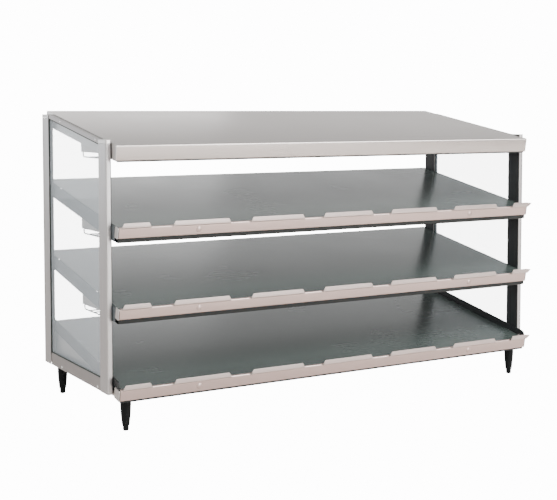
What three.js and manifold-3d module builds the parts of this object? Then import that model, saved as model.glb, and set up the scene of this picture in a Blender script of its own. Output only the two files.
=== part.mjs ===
// A three-tier pizza warmer with slanted shelves, open at the front and the rear.
// Millimetres. X runs across the front, Y from the front to the rear, Z up from the counter.
import * as THREE from "three";
import { mergeVertices } from "three/addons/utils/BufferGeometryUtils.js";
import Module from "manifold-3d";

const wasm = await Module();
wasm.setup();

// Working values
const seatGap = 0.3;
const overrun = 4;
const weldDistance = 0.001;
const bendSteps = 3;
const quarterTurn = Math.PI / 2;
const degree = Math.PI / 180;

// Side frames: a front and a rear post, a slanted top rail and a level bottom rail
const frameWidth = 1261;
const frameFront = -196;
const frameRear = 237;
const frameBottom = 88;
const postWidth = 12.5;
const postDepth = 46;
const postSheet = 1.2;
const postBend = 1.6;
const postCap = 1.2;
const railInset = 1.6;
const railDropBelowCanopy = 1.5;
const topRailHeight = 10;
const bottomRailHeight = 31;
const linerThickness = 1;
const linerMargin = 2;

// Side glass and its gasket
const glassThickness = 6;
const glassBite = 4;
const glassCorner = 3;
const gasketBite = 6;
const gasketLip = 3;

// Canopy
const canopyFront = -227;
const canopyHeight = 667.5;
const canopySlope = 9.5 * degree;
const canopyDepth = 473;
const canopyFascia = 38;
const canopyHem = 12;
const canopySheet = 1.5;
const canopyBend = 2.5;

// Shelves, measured along and square to their slope
const shelfFront = -232;
const upperShelfHeight = 478.5;
const tierPitch = 186.8;
const shelfSlope = 10.7 * degree;
const shelfDepth = 479;
const shelfFace = 26.5;
const shelfHem = 10;
const shelfSheet = 1.5;
const shelfBend = 2.5;
const shelfReturn = 18;
const coverFloor = 37.3;
const coverSheet = 1.2;
const coverSetback = 2;
const coverSideClearance = 2.3;
const endPlateThickness = 1.5;
const blanketThickness = 3;
const blanketMargin = 22;
const blanketCorner = 11;

// Lip tabs along the front of every shelf
const tabCount = 7;
const tabGap = 54;
const firstTab = 75;
const lastTab = 54;
const tabEndInset = 6;
const tabReach = 7;
const tabRise = 12.5;
const tabSlant = 7;
const tabRoot = 12;
const tabFold = 3;
const tabBend = 5;

// Bottom shelf and base
const bottomFace = 28.8;
const bottomRearApron = 12;
const bottomReturn = 30;
const railThickness = 3;
const railAbove = 16.5;
const railBelow = 12.5;
const railNoseSetback = 5;
const railNose = 15;
const railNoseSteps = 6;
const railHeel = 32;
const baseFront = -214.5;
const baseRear = 240;
const baseFloor = 84;
const baseSheet = 1.5;
const baseBend = 2.5;
const baseFrontWall = 19;
const baseRearFlange = 14;

// Radiant heads: housing, reflector, element and wire guard
const headRear = 8;
const headDepth = 130;
const headHeight = 27;
const headEndInset = 40.5;
const headSheet = 1.5;
const headLip = 14;
const headPlay = 0.5;
const canopyHeadDrop = 23;
const shelfHeadDrop = 28;
const reflectorSheet = 0.8;
const reflectorTop = 46;
const reflectorFlange = 8;
const reflectorBend = 2;
const reflectorRise = 20;
const elementDiameter = 9;
const elementSides = 12;
const elementDrop = 12;
const guardWire = 3;
const guardSides = 6;
const guardDrop = 12;
const guardInset = 5;
const guardBend = 6;
const guardHoops = 7;
const guardEndInset = 30;
const guardRodShares = [0.25, 0.5, 0.75];

// Rear control panel with its switch, knobs and cord gland
const panelSheet = 1.5;
const panelHeight = 94;
const panelRise = 1.8;
const panelEdge = 0.4;
const knobOrder = ["bottom", "middle", "upper"];
const knobSpacing = 90;
const controlHeight = 46;
const switchInset = 110.5;
const glandInset = 100.5;
const glandHeight = 30;

// Rocker switch
const bezelWidth = 24;
const bezelHeight = 32;
const bezelThickness = 2.2;
const bezelCorner = 3;
const throatWidth = 20;
const throatHeight = 28;
const throatDepth = 22;
const pocketWidth = 15;
const pocketDepth = 12;
const rockerRadius = 11.6;
const rockerPlay = 0.4;
const rockerCrown = 4.2;
const rockerWaist = 1.4;
const rockerBack = 3;
const rockerTilt = 10 * degree;

// Thermostat knobs
const knobSkirt = 20;
const knobSkirtHeight = 4;
const knobGrip = 14;
const knobGripTop = 12.6;
const knobHeight = 19;
const knobEdge = 1.2;
const knobFlutes = 12;
const knobFluteRadius = 2.2;
const knobFluteDepth = 1.6;
const knobFluteSides = 6;
const knobPointerWidth = 2;
const knobPointerProud = 0.8;
const knobSegments = 24;
const spindleRadius = 3;
const spindleLength = 12;
const spindlePlay = 0.6;

// Cord gland
const glandFlange = 13;
const glandFlangeHeight = 4;
const glandDome = 9.5;
const glandCrown = 6.2;
const glandHeightOut = 15;
const glandBore = 4.2;
const glandThread = 8;
const glandThreadLength = 9;
const glandSegments = 24;

// Legs and levelling feet
const legSideInset = 44;
const legFrontInset = 18.5;
const legRearInset = 14;
const legTop = 12.75;
const legWaist = 12.1;
const legBottom = 9.3;
const legTaper = 40;
const legEnd = 13;
const legShoulder = 2.5;
const legBore = 5.4;
const legBoreTop = 58;
const legSegments = 24;
const footPad = 5.7;
const footSole = 4.6;
const footEdge = 1;
const footPadHeight = 12.6;
const footStem = 4.9;
const footStemTop = 44;
const footSegments = 20;

// Sizes that follow from the ones above
const frameHalf = frameWidth / 2;
const innerFace = frameHalf - postWidth;
const tierHalf = innerFace - linerThickness - 2 * seatGap;
const railFace = frameHalf - railInset;
const glassCentre = (innerFace + railFace) / 2;
const gasketThickness = railFace - innerFace - 2 * (postSheet + seatGap);
const openingFront = frameFront + postDepth;
const openingRear = frameRear - postDepth;
const openingBottom = frameBottom + bottomRailHeight;
const headFront = headRear - headDepth;
const headLength = frameWidth - 2 * headEndInset;
const bottomShelfHeight = upperShelfHeight - 2 * tierPitch;
const baseHalf = tierHalf - shelfSheet - seatGap;
const panelBottom = baseFloor + panelRise;
const controlZ = baseFloor + controlHeight;
const glandZ = baseFloor + glandHeight;
const panelRear = baseRear + seatGap + panelSheet;
const switchX = frameHalf - switchInset;
const glandX = glandInset - frameHalf;
const knobPlaces = knobOrder.map((name, i) => switchX - (knobOrder.length - i) * knobSpacing);
const legX = frameHalf - legSideInset;
const frontLegY = baseFront + legFrontInset;
const rearLegY = baseRear - legRearInset;

const finishes = {
  stainless: { color: 0xc4bfbb, roughness: 0.35, metalness: 0.9 },
  shelf: { color: 0x868a86, roughness: 0.3, metalness: 0.85 },
  darkSheet: { color: 0x35393a, roughness: 0.5, metalness: 0.5 },
  black: { color: 0x1c2423, roughness: 0.55, metalness: 0.1 },
  rubber: { color: 0x20261f, roughness: 0.7, metalness: 0 },
  glass: { color: 0xeef3f5, roughness: 0.05, metalness: 0 },
  aluminium: { color: 0xd6d8da, roughness: 0.25, metalness: 0.95 },
  element: { color: 0x6e6a66, roughness: 0.6, metalness: 0.7 },
  silicone: { color: 0xb8552e, roughness: 0.7, metalness: 0 },
  plastic: { color: 0x0e1618, roughness: 0.45, metalness: 0 },
};

const object = new THREE.Group();

// Points and outlines

function at(first, second) {
  return new THREE.Vector2(first, second);
}

// The corner of an outline between two straight stretches, rounded by a short curve.
function roundedCorner(before, corner, after, radius) {
  const toBefore = before.clone().sub(corner).normalize();
  const toAfter = after.clone().sub(corner).normalize();
  const halfAngle = Math.acos(toBefore.dot(toAfter)) / 2;
  const setback = radius / Math.tan(halfAngle);
  const start = corner.clone().addScaledVector(toBefore, setback);
  const end = corner.clone().addScaledVector(toAfter, setback);
  return new THREE.QuadraticBezierCurve(start, corner, end).getPoints(bendSteps);
}

// A closed outline with all its corners rounded.
function rounded(corners, radius) {
  const count = corners.length;
  return corners.flatMap((corner, i) =>
    roundedCorner(corners[(i + count - 1) % count], corner, corners[(i + 1) % count], radius),
  );
}

// A sheet folded along its centre line, with half its thickness on each side and every bend rounded.
function foldedSheet(corners, thickness, bendRadius) {
  const centre = corners.flatMap((corner, i) =>
    corners[i - 1] && corners[i + 1]
      ? roundedCorner(corners[i - 1], corner, corners[i + 1], bendRadius)
      : [corner],
  );
  const left = [];
  const right = [];
  centre.forEach((point, i) => {
    const arriving = point.clone().sub(centre[i - 1] ?? point);
    const leaving = (centre[i + 1] ?? point).clone().sub(point);
    const arrivingWay = arriving.length() ? arriving.normalize() : leaving.clone().normalize();
    const leavingWay = leaving.length() ? leaving.normalize() : arrivingWay.clone();
    const way = arrivingWay.clone().add(leavingWay).normalize();
    const halfSheet = thickness / 2 / way.dot(arrivingWay);
    left.push(at(point.x - way.y * halfSheet, point.y + way.x * halfSheet));
    right.unshift(at(point.x + way.y * halfSheet, point.y - way.x * halfSheet));
  });
  return [...left, ...right];
}

// Solids

function upright(outline, bottom, top) {
  const settings = { depth: top - bottom, bevelEnabled: false };
  return new THREE.ExtrudeGeometry(new THREE.Shape(outline), settings).translate(0, 0, bottom);
}

// An outline of depth and height, drawn out from one X to another.
function across(outline, fromX, toX, holes = []) {
  const shape = new THREE.Shape(outline);
  shape.holes = holes.map((hole) => new THREE.Path(hole));
  const turn = new THREE.Matrix4().makeBasis(
    new THREE.Vector3(0, 1, 0),
    new THREE.Vector3(0, 0, 1),
    new THREE.Vector3(1, 0, 0),
  );
  const settings = { depth: toX - fromX, bevelEnabled: false };
  return new THREE.ExtrudeGeometry(shape, settings).applyMatrix4(turn).translate(fromX, 0, 0);
}

function block([fromX, toX], [fromY, toY], [fromZ, toZ]) {
  return new THREE.BoxGeometry(toX - fromX, toY - fromY, toZ - fromZ).translate(
    (fromX + toX) / 2,
    (fromY + toY) / 2,
    (fromZ + toZ) / 2,
  );
}

// A profile of radius and height, turned about the Z axis.
function turned(profile, segments) {
  return new THREE.LatheGeometry(profile, segments).rotateX(quarterTurn);
}

function solidOf(geometry) {
  const bare = geometry.clone();
  bare.deleteAttribute("normal");
  bare.deleteAttribute("uv");
  const merged = mergeVertices(bare, weldDistance);
  return new wasm.Manifold(
    new wasm.Mesh({
      numProp: 3,
      vertProperties: merged.getAttribute("position").array,
      triVerts: new Uint32Array(merged.index.array),
    }),
  );
}

function geometryOf(solid) {
  const { vertProperties, triVerts } = solid.getMesh();
  const geometry = new THREE.BufferGeometry();
  geometry.setAttribute("position", new THREE.BufferAttribute(vertProperties, 3));
  geometry.setIndex(new THREE.BufferAttribute(triVerts, 1));
  const faceted = geometry.toNonIndexed();
  faceted.computeVertexNormals();
  return faceted;
}

function join(first, ...others) {
  return geometryOf(others.reduce((sum, other) => sum.add(solidOf(other)), solidOf(first)));
}

function cut(first, ...tools) {
  return geometryOf(tools.reduce((rest, tool) => rest.subtract(solidOf(tool)), solidOf(first)));
}

function place(name, geometry, finish, parent = object) {
  const mesh = new THREE.Mesh(geometry, new THREE.MeshStandardMaterial(finishes[finish]));
  mesh.name = name;
  parent.add(mesh);
  return mesh;
}

// Slanted frames: Y runs up the slope from the front edge and Z square to it

function slantedFrame(front, height, slope) {
  const frame = new THREE.Group();
  frame.position.set(0, front, height);
  frame.rotation.x = slope;
  object.add(frame);
  return frame;
}

// The height of a slanted plane, sunk by some depth square to it, above a point of the floor plan.
function slantedHeight(tier, y, sunk) {
  return tier.height + (y - tier.front) * Math.tan(tier.slope) - sunk / Math.cos(tier.slope);
}

// How far up the slope a point sunk below the plane lies, from its place in the floor plan.
function upSlope(tier, y, sunk) {
  return (y - tier.front - sunk * Math.sin(tier.slope)) / Math.cos(tier.slope);
}

const canopyTier = { front: canopyFront, height: canopyHeight, slope: canopySlope };
const upperTier = { front: shelfFront, height: upperShelfHeight, slope: shelfSlope };
const middleTier = { front: shelfFront, height: upperShelfHeight - tierPitch, slope: shelfSlope };
const bottomTier = { front: shelfFront, height: bottomShelfHeight, slope: shelfSlope };

function railTop(y) {
  return slantedHeight(canopyTier, y, 0) - railDropBelowCanopy;
}

// Side frames

function ordered(first, second) {
  return first < second ? [first, second] : [second, first];
}

function post(side, web, inward, top) {
  const skin = postSheet / 2;
  const outer = side * (frameHalf - skin);
  const inner = side * (innerFace + skin);
  const open = web + inward * postDepth;
  const closed = web + inward * skin;
  const section = [at(outer, open), at(outer, closed), at(inner, closed), at(inner, open)];
  const channel = upright(foldedSheet(section, postSheet, postBend), frameBottom, top);
  const cap = block(ordered(inner, outer), ordered(closed, open), [top - postCap, top]);
  return join(channel, cap);
}

function liner(side, web, inward, top) {
  const near = innerFace - seatGap;
  const faces = ordered(side * (near - linerThickness), side * near);
  const run = ordered(web + inward * linerMargin, web + inward * (postDepth - linerMargin));
  return block(faces, run, [frameBottom + linerMargin, top - linerMargin]);
}

function topRail(side) {
  const ends = [openingFront + seatGap, openingRear - seatGap];
  const outline = (sunkTop, sunkBottom, reach) => [
    at(ends[0] - reach, railTop(ends[0] - reach) - sunkBottom),
    at(ends[1] + reach, railTop(ends[1] + reach) - sunkBottom),
    at(ends[1] + reach, railTop(ends[1] + reach) - sunkTop),
    at(ends[0] - reach, railTop(ends[0] - reach) - sunkTop),
  ];
  const [from, to] = ordered(side * innerFace, side * railFace);
  return cut(
    across(outline(0, topRailHeight, 0), from, to),
    across(outline(postSheet, topRailHeight + overrun, overrun), from + postSheet, to - postSheet),
  );
}

function bottomRail(side) {
  const [from, to] = ordered(side * innerFace, side * railFace);
  const run = [openingFront + seatGap, openingRear - seatGap];
  return cut(
    block([from, to], run, [frameBottom, openingBottom]),
    block(
      [from + postSheet, to - postSheet],
      [run[0] - overrun, run[1] + overrun],
      [frameBottom + postSheet, openingBottom + overrun],
    ),
  );
}

// The outline of the side opening, grown or shrunk on every edge.
function openingOutline(grow) {
  const front = openingFront - grow;
  const rear = openingRear + grow;
  const top = (y) => railTop(y) - topRailHeight + grow;
  const bottom = openingBottom - grow;
  const corners = [at(front, bottom), at(rear, bottom), at(rear, top(rear)), at(front, top(front))];
  return rounded(corners, glassCorner);
}

function glassPane(side) {
  const middle = side * glassCentre;
  return across(openingOutline(glassBite), middle - glassThickness / 2, middle + glassThickness / 2);
}

function glassGasket(side) {
  const middle = side * glassCentre;
  const groove = glassThickness / 2 + seatGap;
  return cut(
    across(
      openingOutline(gasketBite),
      middle - gasketThickness / 2,
      middle + gasketThickness / 2,
      [openingOutline(-gasketLip)],
    ),
    across(openingOutline(glassBite + seatGap), middle - groove, middle + groove),
  );
}

for (const [sideName, side] of [["left", -1], ["right", 1]]) {
  const frontTop = railTop(openingFront);
  const rearTop = railTop(openingRear);
  place(`${sideName}_front_post`, post(side, frameFront, 1, frontTop), "stainless");
  place(`${sideName}_rear_post`, post(side, frameRear, -1, rearTop), "stainless");
  place(`${sideName}_front_post_liner`, liner(side, frameFront, 1, frontTop), "black");
  place(`${sideName}_rear_post_liner`, liner(side, frameRear, -1, rearTop), "black");
  place(`${sideName}_top_rail`, topRail(side), "stainless");
  place(`${sideName}_bottom_rail`, bottomRail(side), "stainless");
  place(`${sideName}_glass`, glassPane(side), "glass");
  place(`${sideName}_glass_gasket`, glassGasket(side), "rubber");
}

// Canopy and shelf pans

// The section of a pan turned upside down: hem, front face, top, rear apron and, if asked, a rear hem.
function panSection(depth, sheet, bend, front, rear) {
  const skin = sheet / 2;
  const corners = [
    at(front.hem, -front.height + skin),
    at(skin, -front.height + skin),
    at(skin, -skin),
    at(depth - skin, -skin),
    at(depth - skin, -rear.height + skin),
  ];
  if (rear.hem) corners.push(at(depth - rear.hem, -rear.height + skin));
  return foldedSheet(corners, sheet, bend);
}

// The two end walls of a pan, from the middle of its front sheet to a given depth.
function endWalls(halfWidth, sheet, bend, toDepth, fromHeight, toHeight) {
  const [front, low, high] = [sheet / 2, fromHeight + sheet / 2, toHeight - sheet / 2];
  const outline = rounded([at(front, low), at(toDepth, low), at(toDepth, high), at(front, high)], bend);
  return [
    across(outline, -halfWidth, -halfWidth + sheet),
    across(outline, halfWidth - sheet, halfWidth),
  ];
}

// A rectangle in a plate sunk below a tier's plane that lets a radiant head through.
function headOpening(tier, sunk) {
  const front = upSlope(tier, headFront, sunk) - headPlay;
  const rear = upSlope(tier, headRear, sunk) + headPlay;
  const side = headLength / 2 + headPlay;
  return block([-side, side], [front, rear], [-sunk - overrun, -sunk + overrun]);
}

function canopyTop() {
  const edge = { height: canopyFascia, hem: canopyHem };
  const skin = canopySheet / 2;
  const side = tierHalf - skin;
  const sheet = across(panSection(canopyDepth, canopySheet, canopyBend, edge, edge), -side, side);
  const ends = endWalls(tierHalf, canopySheet, canopyBend, canopyDepth - skin, -canopyFascia, 0);
  return join(sheet, ...ends);
}

function canopyTray() {
  const side = tierHalf - canopySheet - seatGap;
  const floor = canopyFascia - canopySheet - seatGap;
  const run = [canopySheet + canopyBend, canopyDepth - canopySheet - canopyBend];
  const plate = block([-side, side], run, [-floor, -floor + canopySheet]);
  return cut(plate, headOpening(canopyTier, floor));
}

// A lip tab, bent up and forward out of the pan's front edge to keep boxes from sliding off.
function lipTab(from, to) {
  const skin = shelfSheet / 2;
  const corners = [at(tabRoot, -skin), at(tabFold, -skin), at(-tabReach + skin, tabRise - skin)];
  const tab = across(foldedSheet(corners, shelfSheet, tabBend), from, to);
  return cut(tab, tabEndCut(from, 1), tabEndCut(to, -1));
}

// A wedge that slants the end of a tab inwards from one sheet's thickness above the shelf.
function tabEndCut(end, inward) {
  const lean = (inward * tabSlant) / (tabRise - shelfSheet);
  const [low, high] = [-overrun, tabRise + overrun];
  const [foot, peak] = [low, high].map((z) => end + (z - shelfSheet) * lean);
  const outline = [at(foot, low), at(peak, high), at(foot, high)];
  return upright(outline, -tabRoot, tabReach + overrun).rotateX(quarterTurn);
}

// A short tab at each end of the row, and equal ones between them.
function lipTabs() {
  const [first, last] = [tabEndInset - tierHalf, tierHalf - tabEndInset];
  const free = last - first - firstTab - lastTab - (tabCount - 1) * tabGap;
  const tabLength = free / (tabCount - 2);
  const tabs = [lipTab(first, first + firstTab), lipTab(last - lastTab, last)];
  for (let i = 0; i < tabCount - 2; i += 1) {
    const from = first + firstTab + tabGap + i * (tabLength + tabGap);
    tabs.push(lipTab(from, from + tabLength));
  }
  return tabs;
}

function raisedShelfPan() {
  const section = panSection(
    shelfDepth,
    shelfSheet,
    shelfBend,
    { height: shelfFace, hem: shelfHem },
    { height: shelfFace, hem: 0 },
  );
  const side = tierHalf - shelfSheet / 2;
  return join(
    across(section, -side, side),
    ...endWalls(tierHalf, shelfSheet, shelfBend, shelfReturn, -shelfFace, 0),
    ...lipTabs(),
  );
}

function underCover(tier) {
  const skin = coverSheet / 2;
  const front = shelfSheet + coverSetback;
  const rear = shelfDepth - shelfSheet - coverSetback;
  const rim = -shelfFace - seatGap;
  const floor = -coverFloor + skin;
  const corners = [at(front, rim), at(front, floor), at(rear, floor), at(rear, rim)];
  const side = tierHalf - coverSideClearance;
  const tray = across(foldedSheet(corners, coverSheet, shelfBend), -side, side);
  return cut(tray, headOpening(tier, coverFloor - skin));
}

function endPlate(side) {
  const [from, to] = ordered(side * (tierHalf - endPlateThickness), side * tierHalf);
  const front = shelfReturn + seatGap;
  const rear = shelfDepth - shelfSheet - seatGap;
  const top = -shelfSheet - seatGap;
  const corners = [at(front, -coverFloor), at(rear, -coverFloor), at(rear, top), at(front, top)];
  return across(rounded(corners, shelfBend), from, to);
}

function blanketHeater() {
  const side = tierHalf - blanketMargin;
  const front = blanketMargin;
  const rear = shelfDepth - blanketMargin;
  const top = -shelfSheet - seatGap;
  const corners = [at(-side, front), at(side, front), at(side, rear), at(-side, rear)];
  return upright(rounded(corners, blanketCorner), top - blanketThickness, top);
}

place("canopy_top", canopyTop(), "stainless", slantedFrame(canopyFront, canopyHeight, canopySlope));
place("canopy_tray", canopyTray(), "aluminium", slantedFrame(canopyFront, canopyHeight, canopySlope));

for (const [tierName, tier] of [["upper", upperTier], ["middle", middleTier]]) {
  const frame = slantedFrame(tier.front, tier.height, tier.slope);
  place(`${tierName}_shelf_pan`, raisedShelfPan(), "shelf", frame);
  place(`${tierName}_shelf_under_cover`, underCover(tier), "darkSheet", frame);
  place(`${tierName}_shelf_blanket_heater`, blanketHeater(), "silicone", frame);
  place(`${tierName}_shelf_left_end`, endPlate(-1), "darkSheet", frame);
  place(`${tierName}_shelf_right_end`, endPlate(1), "darkSheet", frame);
}

// Bottom shelf, whose black end rails stand above its surface

function bottomShelfPan() {
  const side = tierHalf - railThickness - seatGap;
  const section = panSection(
    shelfDepth,
    shelfSheet,
    shelfBend,
    { height: bottomFace, hem: shelfHem },
    { height: bottomRearApron, hem: 0 },
  );
  const face = block([-tierHalf, tierHalf], [0, shelfSheet], [-bottomFace + shelfBend, -shelfBend]);
  return join(
    across(section, -side, side),
    face,
    ...endWalls(tierHalf, shelfSheet, shelfBend, bottomReturn, -bottomFace, -shelfBend),
    ...lipTabs(),
  );
}

function endRail(side) {
  const [from, to] = ordered(side * (tierHalf - railThickness), side * tierHalf);
  const rear = shelfDepth - seatGap;
  const noseFoot = at(railNoseSetback, seatGap);
  const noseTop = at(railNoseSetback + railNose, railAbove);
  const nose = new THREE.QuadraticBezierCurve(noseTop, at(railNoseSetback, railAbove), noseFoot);
  const outline = [
    at(railHeel, seatGap),
    at(railHeel, -railBelow),
    at(rear, -railBelow),
    at(rear, railAbove),
    ...nose.getPoints(railNoseSteps),
  ];
  return across(outline, from, to);
}

const bottomFrame = slantedFrame(bottomTier.front, bottomTier.height, bottomTier.slope);
place("bottom_shelf_pan", bottomShelfPan(), "shelf", bottomFrame);
place("bottom_shelf_blanket_heater", blanketHeater(), "silicone", bottomFrame);
place("bottom_shelf_left_rail", endRail(-1), "black", bottomFrame);
place("bottom_shelf_right_rail", endRail(1), "black", bottomFrame);

// Base: an open wedge under the bottom shelf, closed at the rear by the control panel

function baseHousing() {
  const skin = baseSheet / 2;
  const rearFace = baseRear - skin;
  const corners = [
    at(baseFront + skin, baseFloor + baseFrontWall),
    at(baseFront + skin, baseFloor + skin),
    at(rearFace, baseFloor + skin),
    at(rearFace, baseFloor + baseRearFlange),
  ];
  const inner = baseHalf - baseSheet;
  const floor = across(foldedSheet(corners, baseSheet, baseBend), -inner - skin, inner + skin);
  const wallTop = (y) => slantedHeight(bottomTier, y, railBelow + seatGap);
  const wallCorners = [
    at(baseFront, baseFloor),
    at(baseRear, baseFloor),
    at(baseRear, wallTop(baseRear)),
    at(baseFront, wallTop(baseFront)),
  ];
  const wall = rounded(wallCorners, baseBend + baseSheet / 2);
  return join(
    floor,
    across(wall, -baseHalf, -inner),
    across(wall, inner, baseHalf),
    ...rearFlanges(inner, wallTop(baseRear)),
  );
}

// Upright flanges behind the side walls, where the control panel is screwed on.
function rearFlanges(inner, top) {
  const run = [baseRear - baseSheet, baseRear];
  const rise = [baseFloor + baseBend + baseSheet, top - baseBend - baseSheet];
  return [
    block([-inner - baseSheet / 2, -inner + baseRearFlange], run, rise),
    block([inner - baseRearFlange, inner + baseSheet / 2], run, rise),
  ];
}

function controlPanel() {
  const side = baseHalf - seatGap;
  const front = baseRear + seatGap;
  const outline = rounded(
    [
      at(front, panelBottom),
      at(front + panelSheet, panelBottom),
      at(front + panelSheet, panelBottom + panelHeight),
      at(front, panelBottom + panelHeight),
    ],
    panelEdge,
  );
  const throat = block(
    [switchX - throatWidth / 2 - seatGap, switchX + throatWidth / 2 + seatGap],
    [front - overrun, front + panelSheet + overrun],
    [controlZ - throatHeight / 2 - seatGap, controlZ + throatHeight / 2 + seatGap],
  );
  return cut(
    across(outline, -side, side),
    throat,
    ...knobPlaces.map((x) => rearwardRod(spindleRadius + spindlePlay, x, controlZ)),
    rearwardRod(glandThread + seatGap, glandX, glandZ),
  );
}

// A round rod along Y that passes right through the control panel.
function rearwardRod(radius, x, z) {
  const length = panelSheet + 2 * overrun;
  return new THREE.CylinderGeometry(radius, radius, length, knobSegments).translate(x, panelRear, z);
}

place("base_housing", baseHousing(), "stainless");
place("rear_control_panel", controlPanel(), "stainless");

// Rocker switch, built about its pivot with its face towards the rear

function switchBody() {
  const outline = (width, height, corner) => {
    const [x, y] = [width / 2, height / 2];
    return rounded([at(-x, -y), at(x, -y), at(x, y), at(-x, y)], corner);
  };
  const bezel = upright(outline(bezelWidth, bezelHeight, bezelCorner), 0, bezelThickness);
  const throat = upright(outline(throatWidth, throatHeight, seatGap), -throatDepth, bezelThickness / 2);
  const pocket = block(
    [-pocketWidth / 2, pocketWidth / 2],
    [-rockerRadius - rockerPlay, rockerRadius + rockerPlay],
    [-pocketDepth, bezelThickness + overrun],
  );
  return cut(join(bezel, throat), pocket);
}

// The rocker: two round ends about the pivot, joined by a face with a shallow valley.
function rocker() {
  const reach = Math.asin(rockerCrown / rockerRadius);
  const sink = Math.asin(-rockerBack / rockerRadius);
  const end = (from, to) =>
    new THREE.EllipseCurve(0, 0, rockerRadius, rockerRadius, from, to, from > to).getPoints(bendSteps);
  const outline = [
    ...end(sink, reach),
    at(0, rockerWaist),
    ...end(Math.PI - reach, Math.PI - sink),
  ];
  const side = pocketWidth / 2 - seatGap;
  return across(outline, -side, side);
}

function facingRear(x, z) {
  const holder = new THREE.Group();
  holder.position.set(x, panelRear + seatGap, z);
  holder.rotation.x = -quarterTurn;
  object.add(holder);
  return holder;
}

const switchHolder = facingRear(switchX, controlZ);
place("power_switch_body", switchBody(), "plastic", switchHolder);
place("power_switch_rocker", rocker(), "plastic", switchHolder).rotation.x = -rockerTilt;

// Thermostat knobs: a skirt, a fluted grip with a raised pointer, and the spindle that carries the knob

function knob() {
  const skirt = turned(
    [
      at(0, 0),
      at(knobSkirt, 0),
      at(knobSkirt, knobSkirtHeight - knobEdge),
      at(knobSkirt - knobEdge, knobSkirtHeight),
      at(knobGrip, knobSkirtHeight),
      at(knobGripTop, knobHeight - knobEdge),
      at(knobGripTop - knobEdge, knobHeight),
      at(0, knobHeight),
    ],
    knobSegments,
  );
  const flutes = [];
  for (let i = 0; i < knobFlutes; i += 1) {
    const turn = (2 * Math.PI * i) / knobFlutes + Math.PI / knobFlutes;
    const away = knobGrip + knobFluteRadius - knobFluteDepth;
    const height = knobHeight + overrun - knobSkirtHeight;
    flutes.push(
      new THREE.CylinderGeometry(knobFluteRadius, knobFluteRadius, height, knobFluteSides)
        .rotateX(quarterTurn)
        .translate(away * Math.cos(turn), away * Math.sin(turn), knobSkirtHeight + height / 2),
    );
  }
  const pointer = block(
    [-knobPointerWidth / 2, knobPointerWidth / 2],
    [knobEdge - knobGripTop, 0],
    [knobHeight - knobEdge, knobHeight + knobPointerProud],
  );
  const spindle = turned(
    [at(0, -spindleLength), at(spindleRadius, -spindleLength), at(spindleRadius, knobEdge), at(0, knobEdge)],
    knobFlutes,
  );
  return join(cut(skirt, ...flutes), pointer, spindle);
}

knobOrder.forEach((tierName, i) => {
  const holder = facingRear(knobPlaces[i], controlZ);
  place(`${tierName}_shelf_thermostat_knob`, knob(), "plastic", holder);
});

function cordGland() {
  return turned(
    [
      at(glandBore, -glandThreadLength),
      at(glandThread, -glandThreadLength),
      at(glandThread, 0),
      at(glandFlange, 0),
      at(glandFlange, glandFlangeHeight),
      at(glandDome, glandFlangeHeight),
      at(glandDome, glandHeightOut - glandFlangeHeight),
      at(glandCrown, glandHeightOut),
      at(glandBore, glandHeightOut),
      at(glandBore, -glandThreadLength),
    ],
    glandSegments,
  );
}

place("cord_gland", cordGland(), "plastic", facingRear(glandX, glandZ));

// Radiant heads: level housings under the front half of the canopy and of the two raised shelves

function headHousing() {
  const side = headLength / 2;
  const skin = headSheet;
  const shell = block([-side, side], [headFront, headRear], [0, headHeight]);
  const chamber = block(
    [-side + skin, side - skin],
    [headFront + skin, headRear - skin],
    [skin, headHeight - skin],
  );
  const mouth = block(
    [-side + headLip, side - headLip],
    [headFront + headLip, headRear - headLip],
    [-overrun, skin + overrun],
  );
  return cut(shell, chamber, mouth);
}

function headReflector() {
  const middle = headFront + headDepth / 2;
  const mouth = headDepth / 2 - headLip;
  const rest = headSheet + seatGap + reflectorSheet / 2;
  const corners = [
    at(middle - mouth - reflectorFlange, rest),
    at(middle - mouth, rest),
    at(middle - reflectorTop / 2, rest + reflectorRise),
    at(middle + reflectorTop / 2, rest + reflectorRise),
    at(middle + mouth, rest),
    at(middle + mouth + reflectorFlange, rest),
  ];
  const side = headLength / 2 - headSheet - seatGap;
  return across(foldedSheet(corners, reflectorSheet, reflectorBend), -side, side);
}

function headElement() {
  const length = headLength - 2 * (headSheet + seatGap);
  return new THREE.CylinderGeometry(elementDiameter / 2, elementDiameter / 2, length, elementSides)
    .rotateZ(quarterTurn)
    .translate(0, headFront + headDepth / 2, elementDrop);
}

// One hoop of the wire guard: down from the front lip, across below the mouth and up to the rear lip.
function guardHoop(x) {
  const front = headFront + guardInset;
  const rear = headRear - guardInset;
  const corners = [at(front, -seatGap), at(front, -guardDrop), at(rear, -guardDrop), at(rear, -seatGap)];
  const outline = foldedSheet(corners, guardWire, guardBend);
  return across(outline, x - guardWire / 2, x + guardWire / 2);
}

function headGuard() {
  const reach = headLength / 2 - guardEndInset;
  const hoops = [];
  for (let i = 0; i < guardHoops; i += 1) {
    hoops.push(guardHoop(-reach + (2 * reach * i) / (guardHoops - 1)));
  }
  const inside = headDepth - 2 * guardInset;
  const rods = guardRodShares.map((share) =>
    new THREE.CylinderGeometry(guardWire / 2, guardWire / 2, 2 * reach + guardWire, guardSides)
      .rotateZ(quarterTurn)
      .translate(0, headFront + guardInset + inside * share, -guardDrop + guardWire / 2),
  );
  return join(...hoops, ...rods);
}

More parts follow.
